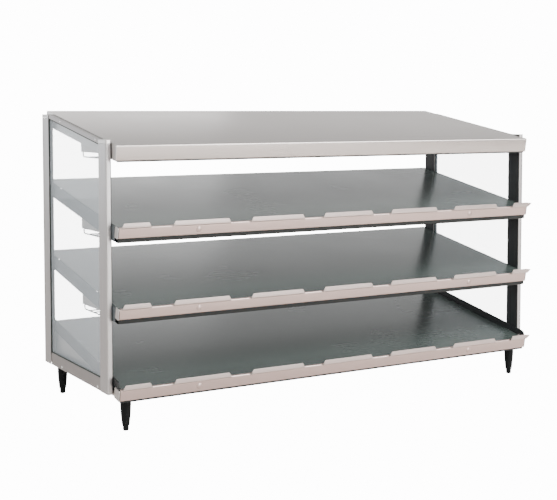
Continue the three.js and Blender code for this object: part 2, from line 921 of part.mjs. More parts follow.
const heads = [
  ["canopy", canopyTier, canopyFascia, canopyHeadDrop],
  ["upper", upperTier, coverFloor, shelfHeadDrop],
  ["middle", middleTier, coverFloor, shelfHeadDrop],
];
for (const [headName, tier, slab, drop] of heads) {
  const head = new THREE.Group();
  head.position.z = slantedHeight(tier, headRear, slab) - drop;
  object.add(head);
  place(`${headName}_heater_housing`, headHousing(), "stainless", head);
  place(`${headName}_reflector`, headReflector(), "aluminium", head);
  place(`${headName}_heating_element`, headElement(), "element", head);
  place(`${headName}_element_guard`, headGuard(), "aluminium", head);
}

// Legs and levelling feet, turned about their own axes

function leg() {
  const top = baseFloor - seatGap;
  return turned(
    [
      at(0, legBoreTop),
      at(legBore, legBoreTop),
      at(legBore, legEnd),
      at(legBottom - legShoulder, legEnd),
      at(legBottom, legEnd + legShoulder),
      at(legWaist, legTaper),
      at(legTop, top - legShoulder),
      at(legTop, top),
      at(0, top),
    ],
    legSegments,
  );
}

function foot() {
  return turned(
    [
      at(0, 0),
      at(footSole, 0),
      at(footPad, footEdge),
      at(footPad, footPadHeight),
      at(footStem, footPadHeight),
      at(footStem, footStemTop),
      at(0, footStemTop),
    ],
    footSegments,
  );
}

for (const [endName, y] of [["front", frontLegY], ["rear", rearLegY]]) {
  for (const [sideName, side] of [["left", -1], ["right", 1]]) {
    const corner = new THREE.Group();
    corner.position.set(side * legX, y, 0);
    object.add(corner);
    place(`${endName}_${sideName}_leg`, leg(), "plastic", corner);
    place(`${endName}_${sideName}_foot`, foot(), "plastic", corner);
  }
}

// The origin is on the counter under the middle of the whole object.
const reach = new THREE.Box3().setFromObject(object);
object.position.y = -(reach.min.y + reach.max.y) / 2;

const whole = new THREE.Group();
whole.add(object);

export default whole;
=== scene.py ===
# %% [markdown]
# # A slanted pizza warmer
#
# The warmer is folded stainless sheet between two side frames with glass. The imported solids
# already have its true sizes, so this lesson loads them as a fixed frame. It then gives each one
# a worked-out finish, and puts finer surfaces where a bend, a wire or a turned leg shows.

import math

import bmesh
import bpy
import numpy as np
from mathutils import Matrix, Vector


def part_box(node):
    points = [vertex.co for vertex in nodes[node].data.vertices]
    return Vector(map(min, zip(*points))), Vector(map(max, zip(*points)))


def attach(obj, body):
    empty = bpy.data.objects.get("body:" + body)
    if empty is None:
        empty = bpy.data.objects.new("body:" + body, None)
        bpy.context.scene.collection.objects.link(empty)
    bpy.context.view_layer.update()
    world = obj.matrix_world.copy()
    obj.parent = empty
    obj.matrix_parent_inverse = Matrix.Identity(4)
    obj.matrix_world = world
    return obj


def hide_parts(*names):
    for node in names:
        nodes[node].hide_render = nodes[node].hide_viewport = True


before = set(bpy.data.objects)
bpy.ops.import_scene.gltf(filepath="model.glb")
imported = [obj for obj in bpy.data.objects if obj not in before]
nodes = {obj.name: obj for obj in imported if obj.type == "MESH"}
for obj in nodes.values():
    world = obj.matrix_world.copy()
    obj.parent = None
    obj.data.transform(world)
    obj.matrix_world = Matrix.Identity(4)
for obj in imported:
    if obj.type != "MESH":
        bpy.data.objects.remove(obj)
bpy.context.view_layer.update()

# %% [markdown]
# ## Camera
#
# The photograph was taken from the front left, a little above the canopy. The real camera's back
# stood upright. A camera that looks down by a few degrees and is shifted less frames the object
# the same way, and leaves the object inside the picture from every other side as well.

# %% Camera
MM = 0.001
# In degrees: the yaw goes to the right of +Y and the pitch goes down
CAMERA_YAW, CAMERA_PITCH = 30.5823, 3.5566


def added(name, data):
    """A new object for some data, linked to the scene."""
    made = bpy.data.objects.new(name, data)
    bpy.context.scene.collection.objects.link(made)
    return made


lens = bpy.data.cameras.new("photo_camera")
lens.sensor_width = 36
lens.lens = 75.685
lens.shift_x = -0.00389
lens.shift_y = -0.12
camera = added("photo_camera", lens)
camera.location = (-1.646348, -2.710819, 0.746128)
camera.rotation_euler = (math.radians(90 - CAMERA_PITCH), 0, math.radians(-CAMERA_YAW))
bpy.context.scene.camera = camera
print("camera", [round(v, 3) for v in camera.location], "lens", lens.lens)

# %% [markdown]
# ## The room
#
# Steel shows what stands round it, so the room is what colours this object. It is pale at the
# horizon, brightest in a band about 17 degrees up, less than half as bright from 26 degrees on,
# and pale again overhead. A slanted tier mirrors one height of the room near its front and
# another near its rear, so this gives the tiers their falloff. The camera itself sees the room as
# plain white.

# %% World
HORIZON, OVERHEAD = (0.8, 0.81, 0.83, 1), (0.9, 0.9, 0.9, 1)
# Pairs of the sine of the angle above the horizon and the tone there
TONES_BETWEEN = ((0.3, 1.2), (0.36, 0.84), (0.44, 0.46), (0.65, 0.45))
ROOM_STRENGTH, SEEN_STRENGTH = 1.15, 14

world = bpy.data.worlds.new("studio")
bpy.context.scene.world = world
world.use_nodes = True
room = world.node_tree
sky = room.nodes["Background"]
sky.inputs["Strength"].default_value = ROOM_STRENGTH
seen = room.nodes.new("ShaderNodeBackground")
seen.inputs["Color"].default_value = (1, 1, 1, 1)
seen.inputs["Strength"].default_value = SEEN_STRENGTH
rise = room.nodes.new("ShaderNodeSeparateXYZ")
where = room.nodes.new("ShaderNodeTexCoord")
ramp = room.nodes.new("ShaderNodeValToRGB")
path = room.nodes.new("ShaderNodeLightPath")
either = room.nodes.new("ShaderNodeMixShader")
stops = ramp.color_ramp.elements
for height, tone in TONES_BETWEEN:
    stops.new(height).color = (tone, tone, tone, 1)
stops[0].color = HORIZON
stops[-1].color = OVERHEAD
for source, target in (
    (where.outputs["Generated"], rise.inputs[0]),
    (rise.outputs["Z"], ramp.inputs["Fac"]),
    (ramp.outputs["Color"], sky.inputs["Color"]),
    (path.outputs["Is Camera Ray"], either.inputs["Fac"]),
    (sky.outputs[0], either.inputs[1]),
    (seen.outputs[0], either.inputs[2]),
    (either.outputs[0], room.nodes["World Output"].inputs["Surface"]),
):
    room.links.new(source, target)
print("world nodes:", len(room.nodes))

# %% [markdown]
# ## Lamps
#
# Six soft lamps add what the room alone lacks. The key stands high at the front left, and a weak
# fill at the right. The back lamp is far behind, where the shelves mirror it. The floor lamp
# shines down in front of the right end, and the bright floor there lights the faces from below.
# The left lamp gives the glass side a cooler light from behind, and the front lamp lights the
# front faces.

# %% Lamps
MIDDLE = (0, 0, 0.4)
# Name: place and target in metres, size in metres, watts
LAMPS = {
    "key_softbox": ((-1.7, -1.9, 2.3), MIDDLE, 1.6, 56),
    "fill_softbox": ((2.4, -1.9, 1.6), MIDDLE, 1.8, 12),
    "back_softbox": ((1.4, 6.0, 1.2), MIDDLE, 3.0, 40),
    "floor_softbox": ((1.35, -1.9, 2.1), (1.35, -1.7, 0), 1.9, 100),
    "left_softbox": ((-2.6, 3.6, 1.15), (-0.6, 0, 0.5), 1.9, 14),
    "front_softbox": ((1.5, -4.6, 1.0), (-0.6, -0.3, 0.5), 1.9, 60),
}
COOL_LIGHT = (0.88, 0.94, 1.0)


def softbox(name, place, target, size, watts):
    """A square area lamp, turned to face a target point."""
    data = bpy.data.lights.new(name, "AREA")
    data.shape = "SQUARE"
    data.size = size
    data.energy = watts
    lamp = added(name, data)
    lamp.location = place
    way = Vector(target) - Vector(place)
    lamp.rotation_euler = way.to_track_quat("-Z", "Y").to_euler()
    lamp.visible_camera = False
    return lamp


lamps = {name: softbox(name, *values) for name, values in LAMPS.items()}
lamps["left_softbox"].data.color = COOL_LIGHT
print("lamps:", *lamps)

# %% [markdown]
# ## Floor
#
# The floor is one large square. The feet screw out of the legs by up to 12 mm, so it lies a
# little more than that below them, and a foot at its lower limit doesn't sink into it.

# %% Floor
FLOOR_REACH, FLOOR_DROP = 30, 0.0125


def flat_floor(name, reach, height):
    """A square of four corners at a height that reaches this far each way."""
    corners = np.array([[-1, -1, 0], [1, -1, 0], [1, 1, 0], [-1, 1, 0]], float) * reach
    corners[:, 2] = height
    mesh = bpy.data.meshes.new(name)
    mesh.from_pydata(corners.tolist(), [], [(0, 1, 2, 3)])
    return added(name, mesh)


floor = flat_floor("floor", FLOOR_REACH, -FLOOR_DROP)
print("floor:", tuple(round(v, 1) for v in floor.dimensions))

# %% [markdown]
# ## Shader arithmetic
#
# Finishes are easier to read as sums than as wires. `Wire` wraps one socket and turns Python's
# operators into Math nodes. `Finish` wraps a material, and its one `node` method makes any other
# node: settings first, then the values or wires of its sockets.

# %% Wire and Finish


class Wire:
    """One socket of a finish, which adds, subtracts and multiplies like a number."""

    def __init__(self, finish, socket):
        self.finish, self.socket = finish, socket

    def __add__(self, other):
        return self.finish.maths("ADD", self, other)

    def __sub__(self, other):
        return self.finish.maths("SUBTRACT", self, other)

    def __mul__(self, other):
        return self.finish.maths("MULTIPLY", self, other)

    __radd__ = __add__


class Finish:
    """A material made of one Principled shader and the nodes that vary it."""

    def __init__(self, name, **constants):
        self.material = bpy.data.materials.new(name)
        self.material.use_nodes = True
        self.tree = self.material.node_tree
        self.shader = self.tree.nodes["Principled BSDF"]
        for socket, value in constants.items():
            self.shader.inputs[socket.replace("_", " ")].default_value = value

    def node(self, kind, settings, values, output=0):
        """The output of a new node, after its settings and its sockets' values or wires."""
        made = self.tree.nodes.new("ShaderNode" + kind)
        for name, value in settings.items():
            setattr(made, name, value)
        for key, value in values.items():
            self.join(value, made.inputs[key])
        return Wire(self, made.outputs[output])

    def join(self, value, socket):
        """Links a wire to a socket, or gives the socket a plain value."""
        if isinstance(value, Wire):
            self.tree.links.new(value.socket, socket)
        else:
            socket.default_value = value

    def maths(self, operation, *values):
        return self.node("Math", {"operation": operation}, dict(enumerate(values)))

    def feed(self, **wires):
        """Joins wires to the shader's sockets and gives the finished material."""
        for socket, wire in wires.items():
            self.join(wire, self.shader.inputs[socket.replace("_", " ")])
        return self.material

    def place(self):
        return self.node("TexCoord", {}, {}, "Object")

    def noise(self, scale, detail=3, rough=0.5):
        """Noise from 0 to 1 over the object's own coordinates; scale is in waves per metre."""
        stretched = self.node("Mapping", {}, {"Vector": self.place(), "Scale": scale})
        values = {"Vector": stretched, "Scale": 1.0, "Detail": detail, "Roughness": rough}
        return self.node("TexNoise", {}, values, "Fac")

    def blend(self, mask, low, high):
        """A colour between two others, by a mask from 0 to 1."""
        return self.node("Mix", {"data_type": "RGBA"}, {0: mask, 6: low, 7: high}, 2)

    def bump(self, height, distance, strength):
        """A normal tilted by a height from 0 to 1; distance is in metres."""
        values = {"Height": height, "Distance": distance, "Strength": strength}
        return self.node("Bump", {}, values, "Normal")


def rgb(text, share=1.0):
    """A colour written as six hex digits, in linear light, times a share, with alpha 1."""
    parts = np.array([int(text[i : i + 2], 16) for i in (0, 2, 4)]) / 255
    linear = np.where(parts > 0.04045, ((parts + 0.055) / 1.055) ** 2.4, parts / 12.92)
    return (*(linear * share).tolist(), 1.0)


print("warm steel in linear light:", [round(v, 3) for v in rgb("d6cfca")])

# %% [markdown]
# ## Brushed metal
#
# Every bright panel is the same steel sheet with a fine grain brushed along its length. Long,
# thin noise gives the grain: slow along the brushing and very fast across it. It moves the
# roughness and a shallow bump, and a second, broad noise adds the faint clouding that wiping
# leaves. Some copies of the steel are tinted to paint light: a warmer, pinker one paints a warm
# reflection on the shelf faces, and lighter ones are painted highlights on the lip tabs, end
# walls and returns. The tray is a duller aluminium, and wires and screws have a grain without
# direction.

# %% Brushed finishes
ALONG_X = (1.6, 900.0, 900.0)
ALONG_Y = (900.0, 1.6, 900.0)
ALONG_Z = (900.0, 900.0, 1.6)
WIRE_GRAIN, SCREW_GRAIN = (300.0,) * 3, (400.0,) * 3
WIPED = (5.0,) * 3
# How far the grain and the clouds move the tone and the roughness, and the darkest and
# lightest tone as shares of the colour
GRAIN_TONE, CLOUD_TONE, GRAIN_ROUGHNESS, CLOUD_ROUGHNESS = 0.22, 0.20, 0.12, 0.08
DARK_SHARE, LIGHT_SHARE = 0.86, 1.14
GRAIN_DEPTH = 0.00004


def brushed(name, colour, grain_scale, roughness):
    """Metal whose tone and roughness follow a fine grain and broad clouds."""
    finish = Finish(name, Metallic=1.0)
    lines = finish.noise(grain_scale, detail=4, rough=0.65)
    clouds = finish.noise(WIPED, detail=3, rough=0.55)
    shade = (lines - 0.5) * GRAIN_TONE + (clouds - 0.5) * CLOUD_TONE + 0.5
    rough = roughness + (lines - 0.5) * GRAIN_ROUGHNESS + (clouds - 0.5) * CLOUD_ROUGHNESS
    return finish.feed(
        Base_Color=finish.blend(shade, rgb(colour, DARK_SHARE), rgb(colour, LIGHT_SHARE)),
        Roughness=rough,
        Normal=finish.bump(lines, GRAIN_DEPTH, strength=0.6),
    )


steel_x = brushed("brushed_steel_lengthwise", "d6cfca", ALONG_X, 0.30)
steel_z = brushed("brushed_steel_upright", "d0cecd", ALONG_Z, 0.34)
rail_steel = brushed("brushed_steel_rail", "b3afad", ALONG_Y, 0.36)
# A warmer, pinker copy of the steel: a painted warm reflection on the shelf faces and studs.
warm_reflection_trim_steel = brushed("shelf_trim_steel", "d7c2bb", ALONG_X, 0.34)
# A lighter copy of the steel: a painted highlight on the lip tabs.
highlight_tab_steel = brushed("shelf_tab_steel", "dccfca", ALONG_X, 0.32)
# A lighter copy of the steel: a painted highlight on end walls and returns; post caps take it too.
caps_and_painted_highlight_steel = brushed("caps_and_painted_highlight_steel", "e6e3e0", ALONG_Y, 0.3)
aluminium = brushed("satin_aluminium", "d8dadb", ALONG_X, 0.36)
zinc = brushed("bright_zinc", "f4f4f2", SCREW_GRAIN, 0.22)
guard_wire = brushed("guard_wire", "c9cacb", WIRE_GRAIN, 0.25)
print("steel finishes:", steel_x.name, steel_z.name, rail_steel.name, warm_reflection_trim_steel.name)

# %% [markdown]
# ## Painted, moulded and rubber finishes
#
# The covers are enamelled sheet, the legs and knobs are moulded, and the glass sits in rubber.
# All of them have an even colour under a fine orange peel, which is a fast noise in the bump.
# They differ in colour, roughness and gloss, so one function makes them all.

# %% Painted and moulded finishes
CLOUDS = (9.0,) * 3
DARK_COAT_SHARE, LIGHT_COAT_SHARE = 0.8, 1.25
CLOUD_GLOSS, PEEL_GLOSS = 0.16, 0.06
PEEL_DEPTH = 0.00006


def coated(name, colour, roughness, speckle=700.0, gloss=0.5):
    """An even colour with slow clouds and a peel of some speckles per metre."""
    finish = Finish(name, Specular_IOR_Level=gloss)
    peel = finish.noise((speckle,) * 3, detail=2)
    clouds = finish.noise(CLOUDS, detail=3)
    dark, light = rgb(colour, DARK_COAT_SHARE), rgb(colour, LIGHT_COAT_SHARE)
    return finish.feed(
        Base_Color=finish.blend(clouds, dark, light),
        Roughness=roughness + (clouds - 0.5) * CLOUD_GLOSS + (peel - 0.5) * PEEL_GLOSS,
        Normal=finish.bump(peel, PEEL_DEPTH, strength=0.5),
    )


# Real dark enamel on the under covers; the same colour also paints shade in strips and slots.
enamel_and_shade_sheet = coated("dark_enamel_and_painted_shade", "1f2322", 0.42, gloss=0.35)
grey_sheet = coated("grey_enamel", "5c6366", 0.4)
black_trim = coated("black_trim", "16191a", 0.5)
rocker_grey = coated("rocker_grey", "80868a", 0.4)
black_leg = coated("black_moulding", "060b0c", 0.45, gloss=0.18)
rubber = coated("gasket_rubber", "343b35", 0.75, 1400.0)
silicone = coated("silicone_mat", "b4532c", 0.65, 1100.0)
ceramic = coated("ceramic", "e9e4d8", 0.4)
element_rod = coated("oxidised_rod", "5c5650", 0.55)
white_mark = coated("white_paint", "f0f0ec", 0.5)
dark_mark = coated("dark_print", "23282a", 0.5)
print("coated finishes:", enamel_and_shade_sheet.name, black_trim.name, black_leg.name, rubber.name)

# %% [markdown]
# ## Coated shelf surface
#
# The shelves have a smooth grey-green hard coat over aluminium. It is dark when looked down on
# and turns mirror-like at a low angle, so the far part of a shelf shows the bright room. A high
# index of refraction gives that, and a small metallic share and a long, faint grain add the
# sheen of the metal below.

# %% Shelf coat
COAT_GRAIN, COAT_CLOUDS = (1.2, 500.0, 500.0), (4.0,) * 3
COAT_ROUGHNESS, COAT_DEPTH = 0.26, 0.00001
# How far the lines and the clouds move the tone, and then the roughness
LINE_TONE, PATCH_TONE, LINE_ROUGHNESS, PATCH_ROUGHNESS = 0.12, 0.4, 0.03, 0.10


def hard_coat():
    """A dark coat whose tone and roughness follow long lines and broad clouds."""
    finish = Finish("shelf_hard_coat", Metallic=0.12, IOR=2.1)
    lines = finish.noise(COAT_GRAIN, detail=3, rough=0.6)
    clouds = finish.noise(COAT_CLOUDS, detail=3, rough=0.55)
    shade = (lines - 0.5) * LINE_TONE + (clouds - 0.5) * PATCH_TONE + 0.5
    patches, streaks = (clouds - 0.5) * PATCH_ROUGHNESS, (lines - 0.5) * LINE_ROUGHNESS
    return finish.feed(
        Base_Color=finish.blend(shade, rgb("3d4644"), rgb("505a56")),
        Roughness=COAT_ROUGHNESS + patches + streaks,
        Normal=finish.bump(lines, COAT_DEPTH, strength=0.3),
    )


shelf_coat = hard_coat()
print("shelf finish:", shelf_coat.name)

# %% [markdown]
# ## Glass
#
# A thick pane of tempered glass is nearly clear. Its faint, cool veil is a pale colour lit by the
# lamps, which paints the reflection of the bright room on the glass. A constant see-through alpha
# keeps the light on the shelves, which a refracting shader would shade. The veil's colour moves a
# little, as on glass that was wiped.

# %% Glass finish
GLASS_CLOUDS = (7.0, 7.0, 3.0)


def clear_glass():
    """A see-through pane whose painted-reflection veil moves slowly between two cool whites."""
    finish = Finish("tempered_glass", Roughness=0.04, IOR=1.5, Alpha=0.3)
    wiped = finish.noise(GLASS_CLOUDS, detail=3)
    # The two cool whites paint the glass's reflection of the bright room.
    return finish.feed(Base_Color=finish.blend(wiped, rgb("e6f2fa"), rgb("f4fbff")))


glass = clear_glass()
print("clear finish:", glass.name)

# %% [markdown]
# ## Floor finish
#
# The floor is matt and pale, so that it throws soft light back up. Only for the camera, most of
# it is mixed with a bright glow, so that it is lost in the white of the room.

# %% Floor finish
FLOOR_GLOW, GLOW_SHARE = 16.0, 0.86


def pale_floor(brightness, share):
    """A matt floor that the camera alone sees lifted towards the white of the room."""
    finish = Finish("pale_floor", Roughness=0.7)
    finish.feed(Base_Color=rgb("d2cac5"))
    glow = finish.node("Emission", {}, {"Strength": brightness})
    camera_ray = finish.node("LightPath", {}, {}, "Is Camera Ray")
    lit = Wire(finish, finish.shader.outputs[0])
    seen_floor = finish.node("MixShader", {}, {0: camera_ray * share, 1: lit, 2: glow})
    finish.join(seen_floor, finish.tree.nodes["Material Output"].inputs["Surface"])
    return finish.material


floor.data.materials.append(pale_floor(FLOOR_GLOW, GLOW_SHARE))
print("floor finish:", floor.data.materials[0].name)

# %% [markdown]
# ## Surfaces from arrays
#
# Folded sheet, wire, turned legs and screw heads are all one kind of shape: a closed ring of
# points that follows a path. So a solid is an array of rings, stations by points by three, and
# its faces come from the grid's own numbering. Both ends are closed by one flat face.

# %% Solids from rings


def ring_solid(rings):
    """Points and faces of a closed solid whose rings follow one another.

    A side face joins two neighbouring points of a ring to the same two of the next ring. The
    first and the last ring are a face each.
    """
    stations, around = rings.shape[:2]
    row = np.arange(stations - 1)[:, None] * around
    here = np.arange(around)[None, :]
    after = (here + 1) % around
    sides = np.stack([row + here, row + after, row + around + after, row + around + here], -1)
    first = np.arange(around)[::-1].tolist()
    last = (np.arange(around) + (stations - 1) * around).tolist()
    return rings.reshape(-1, 3), sides.reshape(-1, 4).tolist() + [first, last]


def joined(solids):
    """Several solids as one list of points and one list of faces."""
    points, faces, start = [], [], 0
    for solid_points, solid_faces in solids:
        points.append(solid_points)
        faces += [[corner + start for corner in face] for face in solid_faces]
        start += len(solid_points)
    return np.concatenate(points), faces


print("faces of a solid with 2 rings of 4 points:", len(ring_solid(np.zeros((2, 4, 3)))[1]))

# %% [markdown]
# ## From solids to a piece
#
# A piece is one object made of several solids, each with its finish. It rides on the body that
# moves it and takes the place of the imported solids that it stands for. Smooth shading follows the
# round bends, while a crease or a bevel keeps the folds crisp.

# %% Pieces
CREASE, BEVEL_FROM = 32, 40


def outward(mesh):
    """Turns every face of a mesh's closed shells outwards."""
    shells = bmesh.new()
    shells.from_mesh(mesh)
    bmesh.ops.recalc_face_normals(shells, faces=shells.faces)
    shells.to_mesh(mesh)
    shells.free()


def soften(made, width):
    """Rounds the sharp edges of a piece by a width in millimetres."""
    edge = made.modifiers.new("soft_edges", "BEVEL")
    edge.width = width * MM
    edge.segments = 2
    edge.limit_method = "ANGLE"
    edge.angle_limit = math.radians(BEVEL_FROM)
    edge.harden_normals = True


def piece(name, parts, stands_for=(), body="cabinet", bevel=0.0):
    """One object from (solids, finish) pairs, given in millimetres, that rides on a body."""
    points, faces = joined([solid for solids, _ in parts for solid in solids])
    counts = [sum(len(solid[1]) for solid in solids) for solids, _ in parts]
    mesh = bpy.data.meshes.new(name)
    mesh.from_pydata((points * MM).tolist(), [], faces)
    for _, finish in parts:
        mesh.materials.append(finish)
    mesh.polygons.foreach_set("material_index", np.repeat(np.arange(len(parts)), counts))
    outward(mesh)
    mesh.shade_smooth()
    mesh.set_sharp_from_angle(angle=math.radians(CREASE))
    made = added(name, mesh)
    if bevel:
        soften(made, bevel)
    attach(made, body)
    if stands_for:
        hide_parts(*stands_for)
    return made


print("a crease is sharp from", CREASE, "degrees; an edge is bevelled from", BEVEL_FROM)

# %% Boxes, points and turns


def box_of(node):
    """The low and the high corner of a solid's box, in millimetres."""
    return [np.array(corner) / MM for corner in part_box(node)]


def as_points(x, y, z):
    """One array of points from coordinates that may differ in shape."""
    return np.stack(np.broadcast_arrays(x, y, z), -1)


def full_turn(segments):
    """A row of equal steps of one whole turn, in radians."""
    return np.linspace(0, 2 * np.pi, segments, endpoint=False)[None, :]


print("canopy's box:", *(corner.round(1).tolist() for corner in box_of("canopy_top")))

# %% [markdown]
# ## Bent lines and folded sheet
#
# A press brake folds sheet along straight lines and leaves a round bend at each. `bent_line`
# rounds the corners of a line of straight runs with curves whose tangents meet the runs.
# `sheet_ring` then gives the line a thickness, half of it on each side.

# %% Bent lines


def bent_line(corners, radius, steps=6):
    """A line through corners whose inner ones are rounded.

    At a corner C with the directions A and B to its neighbours, the curve is the parabola
    (1-t)^2 S + 2t(1-t) C + t^2 E, where S and E lie radius / tan(half the angle) away.
    """
    line = np.array(corners, float)
    middle = line[1:-1]
    back, ahead = line[:-2] - middle, line[2:] - middle
    back /= np.linalg.norm(back, axis=1, keepdims=True)
    ahead /= np.linalg.norm(ahead, axis=1, keepdims=True)
    half = np.arccos(np.clip((back * ahead).sum(1), -1, 1)) / 2
    setback = (np.broadcast_to(radius, len(middle)) / np.tan(half))[:, None]
    t = np.linspace(0, 1, steps)[None, :, None]
    start, end = (middle + back * setback)[:, None], (middle + ahead * setback)[:, None]
    curves = (1 - t) ** 2 * start + 2 * t * (1 - t) * middle[:, None] + t**2 * end
    return np.concatenate([line[:1], curves.reshape(-1, 2), line[-1:]])


def side_offsets(line):
    """At each point of a line, the sideways step that keeps straight runs parallel."""
    run = np.diff(line, axis=0)
    run /= np.linalg.norm(run, axis=1, keepdims=True)
    before, after = np.vstack([run[:1], run]), np.vstack([run, run[-1:]])
    way = before + after
    way /= np.linalg.norm(way, axis=1, keepdims=True)
    return np.stack([-way[:, 1], way[:, 0]], 1) / (way * before).sum(1, keepdims=True)


def sheet_ring(line, thickness):
    """The closed outline of a sheet that follows a line, half its thickness on each side."""
    side = side_offsets(line) * thickness / 2
    return np.concatenate([line + side, (line - side)[::-1]])


def oblong(x0, y0, x1, y1):
    """The four corners of a rectangle, from its low corner round."""
    return [(x0, y0), (x1, y0), (x1, y1), (x0, y1)]


def closed_ring(corners, radius, steps=6):
    """A closed outline with every corner rounded."""
    looped = [corners[-1], *corners, corners[0]]
    return bent_line(looped, radius, steps)[1:-1]


print("points of a rounded square:", len(closed_ring(oblong(0, 0, 1, 1), 0.1)))

# %% [markdown]
# ## The slanted tiers
#
# The canopy and the three shelves each lie on a slanted plane. Their shapes are worked out flat,
# as distances across, up the slope and square to it, and are then laid on their own plane.

# %% Tiers
front_of_posts = box_of("left_front_post")[0][1]
CANOPY_FORWARD, SHELF_FORWARD = 31.0, 36.0
CANOPY_HEIGHT, BOTTOM_HEIGHT, SHELF_STEP = 667.5, 104.9, 186.8
CANOPY_SLOPE, SHELF_SLOPE = 9.5, 10.7
# The depth and height of each tier's front top edge in millimetres, and its slope in degrees
TIERS = {"canopy": (front_of_posts - CANOPY_FORWARD, CANOPY_HEIGHT, CANOPY_SLOPE)}
for step, tier in enumerate(("bottom", "middle", "upper")):
    height = BOTTOM_HEIGHT + step * SHELF_STEP
    TIERS[tier] = (front_of_posts - SHELF_FORWARD, height, SHELF_SLOPE)
HALF_WIDTH = 616.4
SHELF_DEPTH, CANOPY_DEPTH = 479.0, 473.0
SHEET = 1.5
SIDES = (-1, 1)


def on_tier(tier, across, up, out):
    """Points from distances across a tier, up its slope and square to it.

    With the slope a, y is front + up cos a - out sin a and z is height + up sin a + out cos a.
    """
    front, height, slope = TIERS[tier]
    turn = math.radians(slope)
    y = front + up * math.cos(turn) - out * math.sin(turn)
    z = height + up * math.sin(turn) + out * math.cos(turn)
    return as_points(across, y, z)


def across_tier(tier, ring, from_x, to_x):
    """A solid that carries an outline, up the slope and square to it, from one X to another."""
    x = np.array([[from_x], [to_x]])
    return ring_solid(on_tier(tier, x, ring[None, :, 0], ring[None, :, 1]))


print("tiers:", {name: [round(v, 1) for v in tier] for name, tier in TIERS.items()})

# %% [markdown]
# ## Canopy
#
# One sheet makes the slanted top, the deep front fascia and the rear apron, each hemmed inwards
# at the bottom. Its two ends are closed by thin walls. A dark strip that shows as a line below
# the fascia is painted shade: it stands for the shadow under the hem.

# %% Canopy


def end_wall(tier, corners, radius, side):
    """A thin wall with a rounded outline that closes one end of a tier."""
    ring = closed_ring(corners, radius)
    return across_tier(tier, ring, side * (HALF_WIDTH - SHEET), side * HALF_WIDTH)


def painted_shadow_strip(tier, face, drop):
    """A dark strip that shows below a face by a drop: painted shade for the shadow of its hem."""
    near, far, overlap, inset, corner = 2.0, 9.0, 1.0, 5.0, 0.4
    ring = closed_ring(oblong(near, -face - drop, far, overlap - face), corner, 3)
    return across_tier(tier, ring, inset - HALF_WIDTH, HALF_WIDTH - inset)


def canopy():
    """The folded sheet carried across the tier, its end walls and a strip of painted shade."""
    fascia, hem, bend, wall_bend, drop, skin = 38.0, 12.0, 3.2, 3.9, 2.4, SHEET / 2
    low, rear = skin - fascia, CANOPY_DEPTH - skin
    path = [(hem, low), (skin, low), (skin, -skin), (rear, -skin), (rear, low), (rear - hem, low)]
    reach = HALF_WIDTH - skin
    sheet = across_tier("canopy", sheet_ring(bent_line(path, bend), SHEET), -reach, reach)
    corners = oblong(0, -fascia, CANOPY_DEPTH, 0)
    ends = [end_wall("canopy", corners, wall_bend, side) for side in SIDES]
    # A dark strip under the fascia paints the shadow of its hem.
    strip = painted_shadow_strip("canopy", fascia, drop)
    # The end walls take the lighter steel, a painted highlight.
    parts = [([sheet], steel_x), (ends, caps_and_painted_highlight_steel), ([strip], enamel_and_shade_sheet)]
    return piece("canopy_skin", parts, ["canopy_top"], bevel=0.35)


made_canopy = canopy()
print("canopy faces:", len(made_canopy.data.polygons))

# %% [markdown]
# ## Shelves
#
# A shelf shows two finishes. Its surface is a dark, smooth coated plate that food slides down.
# Its front is a bright folded trim with a row of lip tabs bent up out of it. The tabs stop what
# slides, and the gaps between them leave room for a hand. Both ends of a tab are cut on a slant,
# so the sheet is carried across in many stations that stop short near its ends.

# %% Lip tabs
TAB_COUNT, TAB_GAP, TAB_INSET, FIRST_TAB, LAST_TAB = 7, 54.0, 6.0, 75.0, 54.0
TAB_SLANT, TAB_ROOT, TAB_HEIGHT = 7.0, 14.0, 12.5
# Up the slope and square to it: from the plate to the lip and up to the tip
TAB_CORNERS, TAB_BEND = [(9, -0.8), (-6.3, -0.8), (-4.3, 11.75)], 3.4
TAB_STATIONS = [0.0, 0.6, 1.8, 3.5, 5.2, 6.3, TAB_SLANT]
FLARE, FLARE_OUT, FLARE_KEPT_SHARE = 16.0, 4.0, 0.72


def shortened(line, length):
    """A line cut off at a length, with as many points as before."""
    steps = np.linalg.norm(np.diff(line, axis=0), axis=1)
    run = np.concatenate([[0], np.cumsum(steps)])
    at = np.linspace(0, 1, len(line)) * length
    return np.stack([np.interp(at, run, line[:, 0]), np.interp(at, run, line[:, 1])], 1)


def lip_tab(tier, from_x, to_x, flare=0.0):
    """A tab whose length grows from its root to the full line over the slant at each end.

    At the share s of the slant, the length is full - (full - root) (1 - s)^1.25. A flared right
    end keeps most of its length and leans outwards, by the flare at the tip.
    """
    path = bent_line(TAB_CORNERS, TAB_BEND, 9)
    full = np.linalg.norm(np.diff(path, axis=0), axis=1).sum()
    near = np.array(TAB_STATIONS)
    x = np.concatenate([from_x + near, to_x - near[::-1]])
    kept = FLARE_KEPT_SHARE if flare else 0
    to_right = kept * TAB_SLANT + (1 - kept) * (to_x - x)
    share = np.minimum(np.minimum(x - from_x, to_right) / TAB_SLANT, 1)
    length = full - (full - TAB_ROOT) * (1 - share) ** 1.25
    rings = np.stack([sheet_ring(shortened(path, each), SHEET) for each in length])
    lean = np.clip(1 - (to_x - x) / TAB_SLANT, 0, 1)[:, None]
    across = x[:, None] + flare * lean * np.clip(rings[:, :, 1] / TAB_HEIGHT, 0, 1)
    return ring_solid(on_tier(tier, across, rings[:, :, 0], rings[:, :, 1]))


